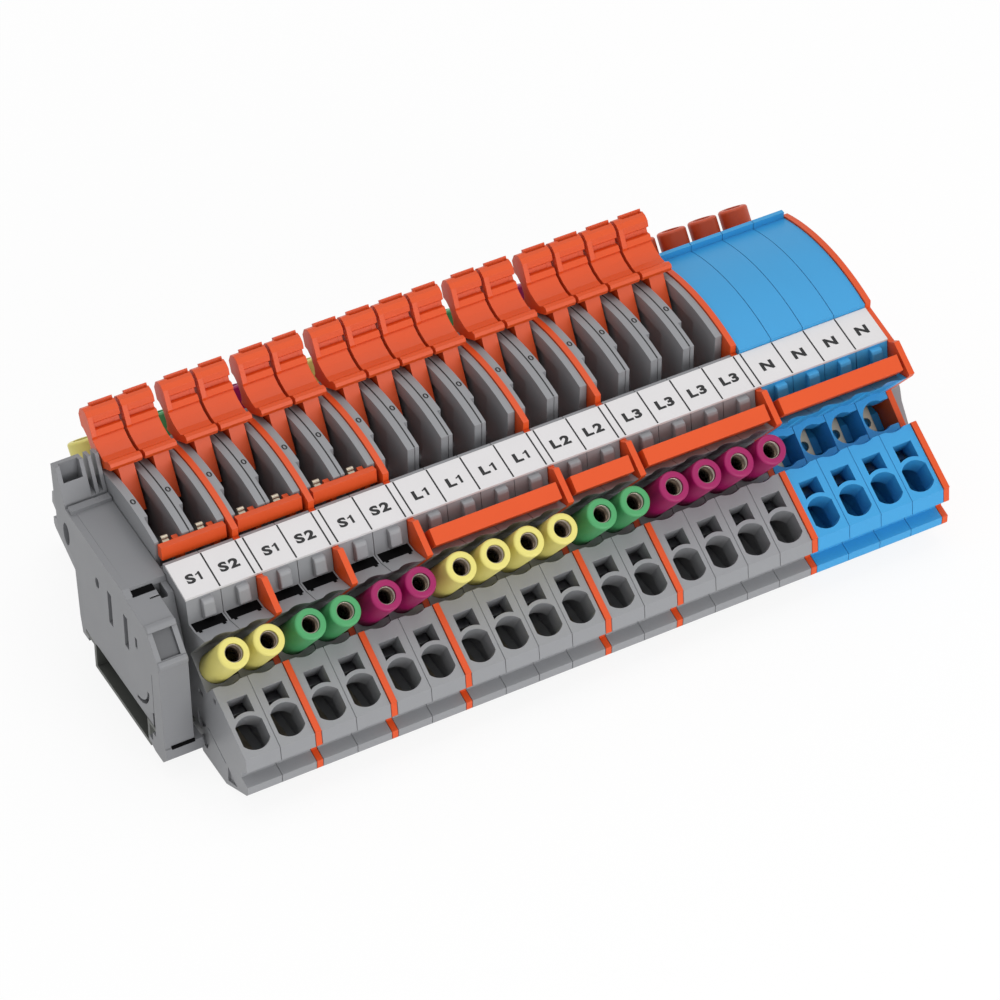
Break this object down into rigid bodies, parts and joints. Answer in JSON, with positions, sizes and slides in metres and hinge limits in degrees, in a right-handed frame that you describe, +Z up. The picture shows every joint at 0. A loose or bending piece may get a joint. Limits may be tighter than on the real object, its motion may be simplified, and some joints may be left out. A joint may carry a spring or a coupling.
{
  "type": "lever terminal block",
  "caption": "Rail-mounted row of test terminal modules with hinged orange disconnect levers, tilted colour-coded test sockets, marker strip, bridging bars and end stops.",
  "frame": {"origin": "bottom centre of the row, on the plane of the rail's underside", "axes": "+X along the rail to the neutral modules, +Y to the rear, +Z up; the marked side faces -Y"},
  "size_m": [0.1854, 0.094, 0.0554],
  "materials": {
    "grey_plastic": "matte moulded",
    "blue_plastic": "matte moulded",
    "orange_plastic": "satin moulded",
    "red_orange_plastic": "satin moulded",
    "yellow_plastic": "satin moulded",
    "green_plastic": "satin moulded",
    "violet_plastic": "satin moulded",
    "white_plastic": "matte",
    "zinc_steel": "dull plated sheet",
    "tinned_copper": "tin plated",
    "spring_steel": "bright strip"
  },
  "bodies": {
    "row": {"din_rail": "zinc_steel", "end_stop_left": "grey_plastic", "end_stop_right": "grey_plastic", "housings_s_pair_1": "grey_plastic", "housings_s_pair_2": "grey_plastic", "housings_s_pair_3": "grey_plastic", "housings_l1": "grey_plastic", "housings_l2": "grey_plastic", "housings_l3": "grey_plastic", "housings_n": "blue_plastic", "separator_plates": "orange_plastic", "end_plate": "orange_plastic", "marker_strip": "white_plastic", "short_circuit_bars": "orange_plastic", "short_circuit_pins": "tinned_copper", "bridging_bar_l1": "orange_plastic", "bridging_bar_l2": "orange_plastic", "bridging_bar_l3": "orange_plastic", "bridging_bar_n": "orange_plastic", "yellow_test_sockets": "yellow_plastic", "green_test_sockets": "green_plastic", "violet_test_sockets": "violet_plastic", "orange_test_sockets": "red_orange_plastic", "front_current_bars": "tinned_copper", "rear_current_bars": "tinned_copper", "front_clamp_springs": "spring_steel", "rear_clamp_springs": "spring_steel"},
    "lever_body_01": {"lever_01": "orange_plastic", "contact_blade_01": "spring_steel"},
    "lever_body_02": {"lever_02": "orange_plastic", "contact_blade_02": "spring_steel"},
    "lever_body_03": {"lever_03": "orange_plastic", "contact_blade_03": "spring_steel"},
    "lever_body_04": {"lever_04": "orange_plastic", "contact_blade_04": "spring_steel"},
    "lever_body_05": {"lever_05": "orange_plastic", "contact_blade_05": "spring_steel"},
    "lever_body_06": {"lever_06": "orange_plastic", "contact_blade_06": "spring_steel"},
    "lever_body_07": {"lever_07": "orange_plastic", "contact_blade_07": "spring_steel"},
    "lever_body_08": {"lever_08": "orange_plastic", "contact_blade_08": "spring_steel"},
    "lever_body_09": {"lever_09": "orange_plastic", "contact_blade_09": "spring_steel"},
    "lever_body_10": {"lever_10": "orange_plastic", "contact_blade_10": "spring_steel"},
    "lever_body_11": {"lever_11": "orange_plastic", "contact_blade_11": "spring_steel"},
    "lever_body_12": {"lever_12": "orange_plastic", "contact_blade_12": "spring_steel"},
    "lever_body_13": {"lever_13": "orange_plastic", "contact_blade_13": "spring_steel"},
    "lever_body_14": {"lever_14": "orange_plastic", "contact_blade_14": "spring_steel"},
    "lever_body_15": {"lever_15": "orange_plastic", "contact_blade_15": "spring_steel"},
    "lever_body_16": {"lever_16": "orange_plastic", "contact_blade_16": "spring_steel"}
  },
  "joints": [
    {"name": "lever_01_hinge", "type": "hinge", "parent": "row", "child": "lever_body_01", "pos_m": [-0.07875, 0.0051, 0.027], "axis": [1, 0, 0], "range_deg": [0, 50]},
    {"name": "lever_02_hinge", "type": "hinge", "parent": "row", "child": "lever_body_02", "pos_m": [-0.07075, 0.0051, 0.027], "axis": [1, 0, 0], "range_deg": [0, 50]},
    {"name": "lever_03_hinge", "type": "hinge", "parent": "row", "child": "lever_body_03", "pos_m": [-0.06125, 0.0051, 0.027], "axis": [1, 0, 0], "range_deg": [0, 50]},
    {"name": "lever_04_hinge", "type": "hinge", "parent": "row", "child": "lever_body_04", "pos_m": [-0.05325, 0.0051, 0.027], "axis": [1, 0, 0], "range_deg": [0, 50]},
    {"name": "lever_05_hinge", "type": "hinge", "parent": "row", "child": "lever_body_05", "pos_m": [-0.04375, 0.0051, 0.027], "axis": [1, 0, 0], "range_deg": [0, 50]},
    {"name": "lever_06_hinge", "type": "hinge", "parent": "row", "child": "lever_body_06", "pos_m": [-0.03575, 0.0051, 0.027], "axis": [1, 0, 0], "range_deg": [0, 50]},
    {"name": "lever_07_hinge", "type": "hinge", "parent": "row", "child": "lever_body_07", "pos_m": [-0.02625, 0.0051, 0.027], "axis": [1, 0, 0], "range_deg": [0, 50]},
    {"name": "lever_08_hinge", "type": "hinge", "parent": "row", "child": "lever_body_08", "pos_m": [-0.01825, 0.0051, 0.027], "axis": [1, 0, 0], "range_deg": [0, 50]},
    {"name": "lever_09_hinge", "type": "hinge", "parent": "row", "child": "lever_body_09", "pos_m": [-0.01025, 0.0051, 0.027], "axis": [1, 0, 0], "range_deg": [0, 50]},
    {"name": "lever_10_hinge", "type": "hinge", "parent": "row", "child": "lever_body_10", "pos_m": [-0.00225, 0.0051, 0.027], "axis": [1, 0, 0], "range_deg": [0, 50]},
    {"name": "lever_11_hinge", "type": "hinge", "parent": "row", "child": "lever_body_11", "pos_m": [0.00725, 0.0051, 0.027], "axis": [1, 0, 0], "range_deg": [0, 50]},
    {"name": "lever_12_hinge", "type": "hinge", "parent": "row", "child": "lever_body_12", "pos_m": [0.01525, 0.0051, 0.027], "axis": [1, 0, 0], "range_deg": [0, 50]},
    {"name": "lever_13_hinge", "type": "hinge", "parent": "row", "child": "lever_body_13", "pos_m": [0.02475, 0.0051, 0.027], "axis": [1, 0, 0], "range_deg": [0, 50]},
    {"name": "lever_14_hinge", "type": "hinge", "parent": "row", "child": "lever_body_14", "pos_m": [0.03275, 0.0051, 0.027], "axis": [1, 0, 0], "range_deg": [0, 50]},
    {"name": "lever_15_hinge", "type": "hinge", "parent": "row", "child": "lever_body_15", "pos_m": [0.04075, 0.0051, 0.027], "axis": [1, 0, 0], "range_deg": [0, 50]},
    {"name": "lever_16_hinge", "type": "hinge", "parent": "row", "child": "lever_body_16", "pos_m": [0.04875, 0.0051, 0.027], "axis": [1, 0, 0], "range_deg": [0, 50]}
  ]
}
